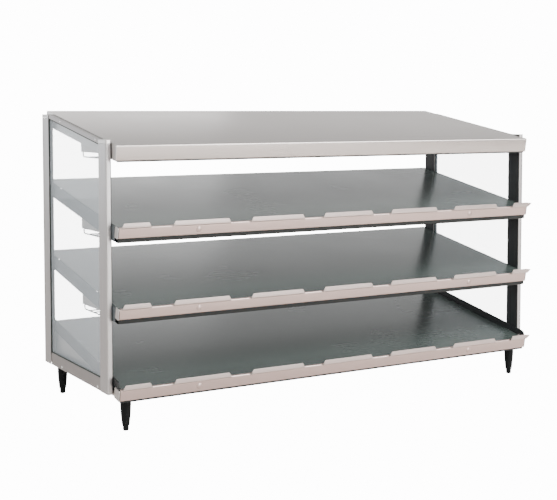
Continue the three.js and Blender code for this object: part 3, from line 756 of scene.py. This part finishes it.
def lip_tabs(tier):
    """A short tab at each end and equal ones between, all the same gap apart."""
    first, last = TAB_INSET - HALF_WIDTH, HALF_WIDTH - TAB_INSET
    free = last - first - FIRST_TAB - LAST_TAB - (TAB_COUNT - 1) * TAB_GAP
    lengths = np.array([FIRST_TAB, *[free / (TAB_COUNT - 2)] * (TAB_COUNT - 2), LAST_TAB])
    ends = first + np.cumsum(lengths + TAB_GAP) - TAB_GAP
    tabs = [lip_tab(tier, end - length, end) for end, length in zip(ends[:-1], lengths)]
    return [*tabs, lip_tab(tier, last - LAST_TAB, last + FLARE_OUT, FLARE)]


print("tabs per shelf:", TAB_COUNT)

# %% [markdown]
# ## Shelf trim, plate and studs
#
# The trim is one fold with a hem, and a short return closes each end of it. Between the face and
# a return there is a thin slot, and a dark flange behind it paints the shade in the slot. The
# plate starts behind the trim and turns down at the rear. Two domed studs sit on each face.

# %% Shelf parts
SLOT, FOLD, RETURN_BEND = 1.6, 2.5, 3.0


def shelf_trim(tier, face):
    """The bright front as (solids, finish) pairs: the fold, end returns, flanges and tabs."""
    skin, hem, strip = SHEET / 2, 10.0, 7.0
    path = [(hem, skin - face), (skin, skin - face), (skin, -skin), (strip, -skin)]
    inner = HALF_WIDTH - SHEET
    ring = sheet_ring(bent_line(path, FOLD), SHEET)
    front = across_tier(tier, ring, SLOT - inner, inner - SLOT)
    return_depth, return_top = (30.0, -3.0) if tier == "bottom" else (18.0, 0.0)
    corners = oblong(0, -face, return_depth, return_top)
    returns = [end_wall(tier, corners, RETURN_BEND, side) for side in SIDES]
    # Dark flanges behind the slots paint the shade in them, so each slot reads as a dark seam.
    flange_size, flange_inset, flange_bend = 7.0, 2.0, 0.3
    flange = oblong(SLOT, flange_inset - face, flange_size, -flange_inset)
    flange_ring = closed_ring(flange, flange_bend, 3)
    painted_shade_flanges = [
        across_tier(tier, flange_ring, side * (inner - flange_size), side * inner)
        for side in SIDES
    ]
    return [
        ([front], warm_reflection_trim_steel),
        (returns, caps_and_painted_highlight_steel),
        (painted_shade_flanges, enamel_and_shade_sheet),
        (lip_tabs(tier), highlight_tab_steel),
    ]


def shelf_plate(tier, apron, reach):
    """The dark surface, from behind the trim to the rear, where it turns down by an apron."""
    skin, start = SHEET / 2, 7.3
    rear = SHELF_DEPTH - skin
    path = [(start, -skin), (rear, -skin), (rear, skin - apron)]
    ring = sheet_ring(bent_line(path, FOLD), SHEET)
    return [across_tier(tier, ring, -reach, reach)]


print("slot beside a return:", SLOT, "mm")

# %% Studs


def round_stud(tier, x, face):
    """A shallow dome on the middle of a face.

    At the share s of its radius it rises by h (1 - 0.92 s^2). Its first ring is sunk a little.
    """
    reach, height, sunk = 7.4, 2.4, 0.4
    share = np.array([1.0, 1.0, 0.95, 0.87, 0.75, 0.6, 0.42, 0.22, 0.02])[:, None]
    turn = full_turn(28)
    rise = np.concatenate([[[-sunk]], height * (1 - 0.92 * share[1:] ** 2)])
    out = -face / 2 + reach * share * np.sin(turn)
    return ring_solid(on_tier(tier, x + reach * share * np.cos(turn), -rise, out))


def studs(tier, face):
    """Two studs, a sixth of the width in from each end."""
    return [round_stud(tier, side * 2 / 3 * HALF_WIDTH, face) for side in SIDES]


print("studs at X:", *(round(side * 2 / 3 * HALF_WIDTH, 1) for side in SIDES))

# %% Shelves in place
SHELF_FACES = {"upper": 26.5, "middle": 26.5, "bottom": 28.8}
BOTTOM_APRON, BOTTOM_GAP, RAISED_GAP, BOTTOM_DROP = 12.0, 3.5, 1.8, 4.4


def shelf(tier, face):
    """A shelf as one piece. The bottom one also has a strip of painted shade below its face."""
    apron, side_gap = (BOTTOM_APRON, BOTTOM_GAP) if tier == "bottom" else (face, RAISED_GAP)
    plate = shelf_plate(tier, apron, HALF_WIDTH - side_gap)
    # The faces and studs take the warmer trim steel, a painted warm reflection.
    parts = [*shelf_trim(tier, face), (plate, shelf_coat), (studs(tier, face), warm_reflection_trim_steel)]
    if tier == "bottom":
        # A dark strip under the bottom face paints the shadow of its hem.
        parts.append(([painted_shadow_strip(tier, face, BOTTOM_DROP)], enamel_and_shade_sheet))
    return piece(f"{tier}_shelf", parts, [f"{tier}_shelf_pan"], bevel=0.3)


for tier, face in SHELF_FACES.items():
    made = shelf(tier, face)
    print(made.name, "faces:", len(made.data.polygons))

# %% [markdown]
# ## Posts of the side frames
#
# Each post is a folded channel that stands upright. A short bright cap closes its top, with a
# thin seam between the two. The outline of the channel is the same for both, so one ring is
# carried through their heights.

# %% Posts


def upright(ring, heights):
    """A solid that carries a plan outline through some heights."""
    z = np.array(heights, float)[:, None]
    return ring_solid(as_points(ring[None, :, 0], ring[None, :, 1], z))


def post(node, inward):
    """A channel closed towards the front or the rear, with its cap; inward is +1 or -1 in Y."""
    low, high = box_of(node)
    sheet, bend, cap, seam, lap, lid_bend = 1.2, 1.7, 9.0, 0.3, 0.1, 1.6
    skin, cap_foot, lid_foot = sheet / 2, high[2] - cap, high[2] - sheet
    outer, inner = sorted((low[0] + skin, high[0] - skin), key=abs, reverse=True)
    web, open_end = (low[1], high[1]) if inward > 0 else (high[1], low[1])
    closed = web + inward * skin
    path = [(outer, open_end), (outer, closed), (inner, closed), (inner, open_end)]
    ring = sheet_ring(bent_line(path, bend), sheet)
    channel = upright(ring, (low[2], cap_foot - seam / 2))
    collar = upright(ring, (cap_foot + seam / 2, lid_foot))
    plan = closed_ring(oblong(low[0], low[1], high[0], high[1]), lid_bend)
    lid = upright(plan, (lid_foot - lap, high[2]))
    # The cap and collar take the lighter steel of the painted highlights.
    parts = [([channel], steel_z), ([collar, lid], caps_and_painted_highlight_steel)]
    return piece(node + "_channel", parts, [node], bevel=0.35)


for side_name in ("left", "right"):
    for end_name, inward in (("front", 1), ("rear", -1)):
        post(f"{side_name}_{end_name}_post", inward)
print("posts: 4")

# %% [markdown]
# ## Turned pieces: legs, feet and knobs
#
# A turned piece is a profile of radius and height carried round an axis. The legs taper from
# their middle down to a rounded shoulder. The feet screw into them, so their stems get a thread:
# the radius follows a triangle wave of the height less a share of the turn, which is a helix.

# %% Turned solids
# A profile starts and ends this near its axis
AXIS = 0.05
# The rows say where a turned piece's own X, Y and Z go
LAYS = {
    "Z": ((1, 0, 0), (0, 1, 0), (0, 0, 1)),
    "X": ((0, 1, 0), (0, 0, 1), (1, 0, 0)),
    "-X": ((0, -1, 0), (0, 0, 1), (-1, 0, 0)),
    "Y": ((-1, 0, 0), (0, 0, 1), (0, 1, 0)),
}


def turned(profile, segments):
    """Rings of a profile of (radius r, height z) round the Z axis: (r cos a, r sin a, z)."""
    profile = np.array(profile, float)
    turn = full_turn(segments)
    radius, height = profile[:, :1], profile[:, 1:]
    return as_points(radius * np.cos(turn), radius * np.sin(turn), height)


def stood(rings, place, axis="Z"):
    """Rings made about the Z axis, laid along another axis and moved to a place."""
    return rings @ np.array(LAYS[axis], float) + np.array(place, float)


def centre_of(node):
    """The middle of a solid's box, in millimetres."""
    low, high = box_of(node)
    return (low + high) / 2


print("axes that a turned piece can take:", *LAYS)

# %% Legs and feet
leg_top = box_of("front_left_leg")[1][2]
# Radius and height: the top, the taper, the shoulder at the lower end and the bore
LEG_CORNERS = [
    (AXIS, leg_top),
    (13.4, leg_top),
    (13.4, leg_top - 3),
    (13.1, 64),
    (12.0, 42),
    (9.3, 15.5),
    (8.4, 13.0),
    (5.4, 13.0),
    (5.4, 58),
    (AXIS, 58),
]
LEG_BENDS = [0.8, 6, 30, 40, 3.0, 0.4, 0.3, 0.5]
FOOT_CORNERS = [(AXIS, 0), (5.4, 0), (7.2, 2.4), (7.4, 12.4), (AXIS, 12.4)]
FOOT_BENDS = [0.4, 1.6, 0.4]


def thread(from_z, to_z, radius, pitch=1.5, depth=0.45, segments=24):
    """A threaded rod: radius less depth times a triangle wave of z/pitch minus the turn's share."""
    z = np.arange(from_z, to_z, pitch / 4)[:, None]
    share = np.linspace(0, 1, segments, endpoint=False)[None, :]
    wave = np.abs(((z / pitch - share) % 1) * 2 - 1)
    size = radius - depth * wave
    return as_points(size * np.cos(2 * np.pi * share), size * np.sin(2 * np.pi * share), z)


def leg_and_foot(corner):
    """A leg on the cabinet, and the foot with its threaded stem on a body of its own."""
    place = centre_of(f"{corner}_leg") * (1, 1, 0)
    leg = ring_solid(stood(turned(bent_line(LEG_CORNERS, LEG_BENDS, 5), 48), place))
    piece(f"{corner}_turned_leg", [([leg], black_leg)], [f"{corner}_leg"])
    foot = ring_solid(stood(turned(bent_line(FOOT_CORNERS, FOOT_BENDS, 5), 32), place))
    stem = ring_solid(stood(thread(from_z=12.0, to_z=44.0, radius=4.9), place))
    parts = [([foot], black_leg), ([stem], zinc)]
    piece(f"{corner}_levelling_foot", parts, [f"{corner}_foot"], f"{corner}_foot")


for corner in ("front_left", "front_right", "rear_left", "rear_right"):
    leg_and_foot(corner)
print("legs and feet: 4 of each")

# %% [markdown]
# ## Radiant heads
#
# Under the canopy and both raised shelves a rod glows in a polished trough. A guard of round wire
# keeps hands and food off it: hoops that cross the mouth, and three long wires laid over them.
# The head hangs level below a slanted slab, so a wedge of sheet at each end fills the gap
# between the two.

# %% Guards
HEAD_REACH = 612.0
GUARD_WIRE, GUARD_HOOPS, GUARD_INSET, WIRE_OVERHANG = 1.5, 9, 4.0, 2.0
HOOP_SEAT, HOOP_BEND = 0.3, 6.0
LONG_WIRE_SHARES = (0.25, 0.5, 0.75)


def hoop(x, path, radius, around=10):
    """A round wire along a line of (y, z) points in the plane of one x.

    At each point of the line, the ring is radius cos a to the side and radius sin a along X.
    """
    line = bent_line(path, HOOP_BEND)
    side = side_offsets(line)[:, None]
    turn = full_turn(around)[..., None]
    yz = line[:, None] + radius * np.cos(turn) * side
    xs = x + radius * np.broadcast_to(np.sin(turn), yz[..., :1].shape)
    return ring_solid(np.concatenate([xs, yz], -1))


def guard(head):
    """Hoops at equal steps across a head and three long wires over them."""
    low, high = box_of(f"{head}_element_guard")
    front, rear, floor_z = low[1] + GUARD_WIRE, high[1] - GUARD_WIRE, low[2] + GUARD_WIRE
    top = high[2] + HOOP_SEAT
    path = [(front, top), (front, floor_z), (rear, floor_z), (rear, top)]
    reach = HEAD_REACH - GUARD_INSET
    xs = np.linspace(-reach, reach, GUARD_HOOPS)
    wires = [hoop(x, path, GUARD_WIRE) for x in xs.tolist()]
    far = reach + WIRE_OVERHANG
    long_wire = turned([(GUARD_WIRE, -far), (GUARD_WIRE, far)], 10)
    for share in LONG_WIRE_SHARES:
        place = (0, front + (rear - front) * share, floor_z)
        wires.append(ring_solid(stood(long_wire, place, "X")))
    parts = [(wires, guard_wire)]
    return piece(f"{head}_wire_guard", parts, [f"{head}_element_guard"])


print("hoops per guard:", GUARD_HOOPS)

# %% Brackets and rods


def slab_floor(tier, y, sunk=36.0):
    """The height, at a depth, of a plane sunk square below a tier's own."""
    front, height, slope = TIERS[tier]
    turn = math.radians(slope)
    return height + (y - front) * math.tan(turn) - sunk / math.cos(turn)


def end_brackets(head):
    """The wedges that hang a level head's two ends from the slanted slab above it."""
    low, high = box_of(f"{head}_heater_housing")
    front, rear, foot = low[1], high[1], low[2]
    least, clear = 0.5, 0.3
    front_top, rear_top = (max(slab_floor(head, y), foot + least) for y in (front, rear))
    ring = np.array([(front, foot), (rear, foot), (rear, rear_top), (front, front_top)])
    solids = []
    for side in SIDES:
        x = np.array([[side * (high[0] + clear)], [side * HEAD_REACH]])
        solids.append(ring_solid(as_points(x, ring[:, 0], ring[:, 1])))
    return piece(f"{head}_head_brackets", [(solids, steel_x)], bevel=0.4)


def rod_element(head):
    """The element's rod with a ceramic collar at both ends."""
    node = f"{head}_heating_element"
    low, high = box_of(node)
    place = centre_of(node) * (0, 1, 1)
    rod_radius, rod_inset = 4.5, 1.0
    collar_radius, collar_length, clear, rounding = 6.6, 20.0, 0.2, 1.0
    ends = [(rod_radius, low[0] + rod_inset), (rod_radius, high[0] - rod_inset)]
    rod = ring_solid(stood(turned(ends, 20), place, "X"))
    collars = []
    for near, far in (
        (low[0] + clear, low[0] + collar_length),
        (high[0] - collar_length, high[0] - clear),
    ):
        corners = [(AXIS, near), (collar_radius, near), (collar_radius, far), (AXIS, far)]
        profile = bent_line(corners, rounding, 4)
        collars.append(ring_solid(stood(turned(profile, 24), place, "X")))
    parts = [([rod], element_rod), (collars, ceramic)]
    return piece(f"{head}_rod_element", parts, [node])


for head in ("canopy", "upper", "middle"):
    end_brackets(head)
    guard(head)
    rod_element(head)
print("radiant heads: 3")

# %% [markdown]
# ## Rear controls
#
# The knobs are turned, with twelve flutes worked into the grip: the radius drops where the cosine
# of twelve times the turn is high. A raised white line shows where the knob points.

# %% Knobs
FLUTES, FLUTE_DEPTH = 12, 1.3
KNOB_CORNERS = [(AXIS, 0.3), (20, 0.3), (20, 4), (14.2, 4.4), (12.8, 19), (AXIS, 19)]
KNOB_BENDS = [0.6, 1.2, 0.8, 1.6]
SKIRT_TOP, SKIRT_FADE, CORE_RADIUS = 4.6, 1.2, 6
SPINDLE = [(3, -11.5), (3, 1)]
POINTER = ((-1, 1), (3, 11.2), (18.4, 19.6))


def knob_rings(segments=96):
    """Rings of the profile, whose radius on the grip drops by depth max(0, cos 12a)^1.5."""
    profile = bent_line(KNOB_CORNERS, KNOB_BENDS, 5)
    radius, height = profile[:, :1], profile[:, 1:]
    turn = full_turn(segments)
    above_skirt = np.clip((height - SKIRT_TOP) / SKIRT_FADE, 0, 1)
    grip = above_skirt * np.clip((radius - CORE_RADIUS) / CORE_RADIUS, 0, 1)
    radius = radius - FLUTE_DEPTH * grip * np.clip(np.cos(FLUTES * turn), 0, 1) ** 1.5
    return as_points(radius * np.cos(turn), radius * np.sin(turn), height)


def bar(x, y, z):
    """A rectangular bar between two values of each of x, y and z."""
    corners = oblong(x[0], y[0], x[1], y[1])
    return np.stack([np.column_stack([corners, np.full(4, level)]) for level in z])


panel_low, panel_high = box_of("rear_control_panel")
panel_rear = panel_high[1]


def knob_place(tier):
    """Where a knob's axis meets the rear face of the panel."""
    return centre_of(f"{tier}_shelf_thermostat_knob") * (1, 0, 1) + (0, panel_rear, 0)


def knob(tier):
    """A fluted knob with its spindle and a white pointer line."""
    spot = knob_place(tier)
    grip = ring_solid(stood(knob_rings(), spot, "Y"))
    spindle = ring_solid(stood(turned(SPINDLE, 20), spot, "Y"))
    line = ring_solid(stood(bar(*POINTER), spot, "Y"))
    parts = [([grip], black_leg), ([spindle], zinc), ([line], white_mark)]
    node, body = f"{tier}_shelf_thermostat_knob", f"{tier}_shelf_thermostat"
    return piece(f"{tier}_fluted_knob", parts, [node], body, 0.12)


for tier in SHELF_FACES:
    knob(tier)
print("knobs:", len(SHELF_FACES), "panel at", round(panel_rear, 2))

# %% [markdown]
# ## Printed range marks
#
# Short printed marks on the panel show a knob's range, from the low end at the top, clockwise as
# seen from the rear. Each one is the same thin bar, turned about the knob's axis.

# %% Printed range marks
MARKS, SWEEP = 9, 280
MARK = ((-0.6, 0.6), (22.5, 27.0), (0.0, 0.12))


def range_marks(tier):
    """Bars at equal turns: t takes (x, y) to (x cos t + y sin t, y cos t - x sin t)."""
    mark = bar(*MARK)
    lines = []
    for turn in np.radians(np.linspace(0, SWEEP, MARKS)).tolist():
        cos, sin = math.cos(turn), math.sin(turn)
        about = np.array([[cos, -sin, 0], [sin, cos, 0], [0, 0, 1]])
        lines.append(ring_solid(stood(mark @ about, knob_place(tier), "Y")))
    return piece(f"{tier}_range_marks", [(lines, dark_mark)])


for tier in SHELF_FACES:
    range_marks(tier)
print("range marks:", len(SHELF_FACES), "rings")

# %% [markdown]
# ## Screws
#
# The rails and the rear panel are held by flat round-headed screws with a cross recess. The head
# is a dome over a disc. Inside two thirds of its radius, two crossing grooves are pressed in.

# %% Screw heads
CROSS_WIDTH_SHARE, CROSS_REACH_SHARE, CROSS_DEPTH_SHARE = 0.16, 0.66, 0.55
CROSS_FADE_SHARE, CROSS_STEEPNESS = 0.06, 1.6
HEAD_SUNK, PANEL_SUNK = 0.3, 0.1


def screw_head(radius, height, segments=48):
    """Rings of a domed head with a cross pressed into it.

    At the share s of the radius the height is h sqrt(1 - 0.8 s^2), less 0.55 h on the cross.
    The first ring is sunk below the face.
    """
    share = np.concatenate([[1.0, 1.0], np.linspace(0.97, 0.02, 16)])[:, None]
    turn = full_turn(segments)
    x, y = radius * share * np.cos(turn), radius * share * np.sin(turn)
    dome = height * np.sqrt(1 - 0.8 * share**2)
    groove = np.minimum(np.abs(x), np.abs(y)) / (CROSS_WIDTH_SHARE * radius)
    inside = np.clip((CROSS_REACH_SHARE - share) / CROSS_FADE_SHARE, 0, 1)
    pressed = np.clip(CROSS_STEEPNESS * (1 - groove), 0, 1) * inside
    z = dome - CROSS_DEPTH_SHARE * height * pressed
    z[0] = -HEAD_SUNK
    return as_points(x, y, z)


def screws(name, spots, axis, radius, height):
    """A piece made of the same screw head at each spot."""
    heads = [ring_solid(stood(screw_head(radius, height), spot, axis)) for spot in spots]
    return piece(name, [(heads, zinc)])


rail_low, rail_high = box_of("left_bottom_rail")
top_low, top_high = box_of("left_top_rail")
FRONT_INSET, TOP_REAR_INSET, LOW_REAR_INSET, RAIL_MIDDLE, TOP_RAIL_MIDDLE = 21, 84, 78, 6, 5


def on_top_rail(y):
    """A spot of (depth, height) on the middle line of the slanted top rail."""
    share = (y - top_low[1]) / (top_high[1] - top_low[1])
    rail_rise = top_high[2] - top_low[2] - 2 * TOP_RAIL_MIDDLE
    return y, top_low[2] + TOP_RAIL_MIDDLE + rail_rise * share


rail_spots = [
    on_top_rail(rail_low[1] + FRONT_INSET),
    on_top_rail(rail_high[1] - TOP_REAR_INSET),
    (rail_low[1] + FRONT_INSET, rail_low[2] + RAIL_MIDDLE),
    (rail_high[1] - LOW_REAR_INSET, rail_low[2] + RAIL_MIDDLE),
]
rail_face = max(abs(rail_low[0]), abs(rail_high[0]))
for side_name, side, axis in (("left", -1, "-X"), ("right", 1, "X")):
    spots = [(side * rail_face, y, z) for y, z in rail_spots]
    screws(f"{side_name}_frame_screws", spots, axis, radius=3.6, height=1.6)

PANEL_SCREWS, END_INSET, EDGE_INSET = 7, 12, 7
panel_heights = (panel_low[2] + EDGE_INSET, panel_high[2] - EDGE_INSET)
columns = np.linspace(panel_low[0] + END_INSET, panel_high[0] - END_INSET, PANEL_SCREWS)
screw_y = panel_rear - PANEL_SUNK
panel_spots = [(x, screw_y, z) for x in columns.tolist() for z in panel_heights]
screws("panel_screws", panel_spots, "Y", radius=4.0, height=1.5)
print("screws:", 2 * len(rail_spots) + len(panel_spots))

# %% [markdown]
# ## Finishes on the solids
#
# Solids whose shape is already right keep their mesh and take a finish. Three modifiers weld the
# loose triangles, merge the flat ones and round the edges, without touching the mesh itself.

# %% Dress the solids
ENDINGS = {
    ("_top_rail", "_bottom_rail"): rail_steel,
    ("_glass",): glass,
    ("_gasket",): rubber,
    ("_liner", "shelf_left_rail", "shelf_right_rail"): black_trim,
    ("_under_cover",): enamel_and_shade_sheet,
    ("_left_end", "_right_end"): grey_sheet,
    ("_tray", "_reflector"): aluminium,
    ("_blanket_heater",): silicone,
    ("_rocker",): rocker_grey,
    ("_gland", "_body"): black_leg,
}
EDGE_WIDTH, WELD_WITHIN, FLAT_WITHIN = 0.3, 0.001, 1


def finish_of(node):
    """The finish of a solid, by what its name ends in; the rest is lengthwise steel."""
    found = [finish for endings, finish in ENDINGS.items() if node.endswith(endings)]
    return found[0] if found else steel_x


def dress(node):
    """Gives a solid its finish, welds and flattens its mesh, and rounds its edges."""
    solid = nodes[node]
    solid.data.materials.clear()
    solid.data.materials.append(finish_of(node))
    weld = solid.modifiers.new("weld", "WELD")
    weld.merge_threshold = WELD_WITHIN * MM
    flat = solid.modifiers.new("flat_faces", "DECIMATE")
    flat.decimate_type = "DISSOLVE"
    flat.angle_limit = math.radians(FLAT_WITHIN)
    soften(solid, EDGE_WIDTH)


shown = [name for name, solid in nodes.items() if not solid.hide_render]
for node in shown:
    dress(node)
print("dressed:", len(shown), "solids")
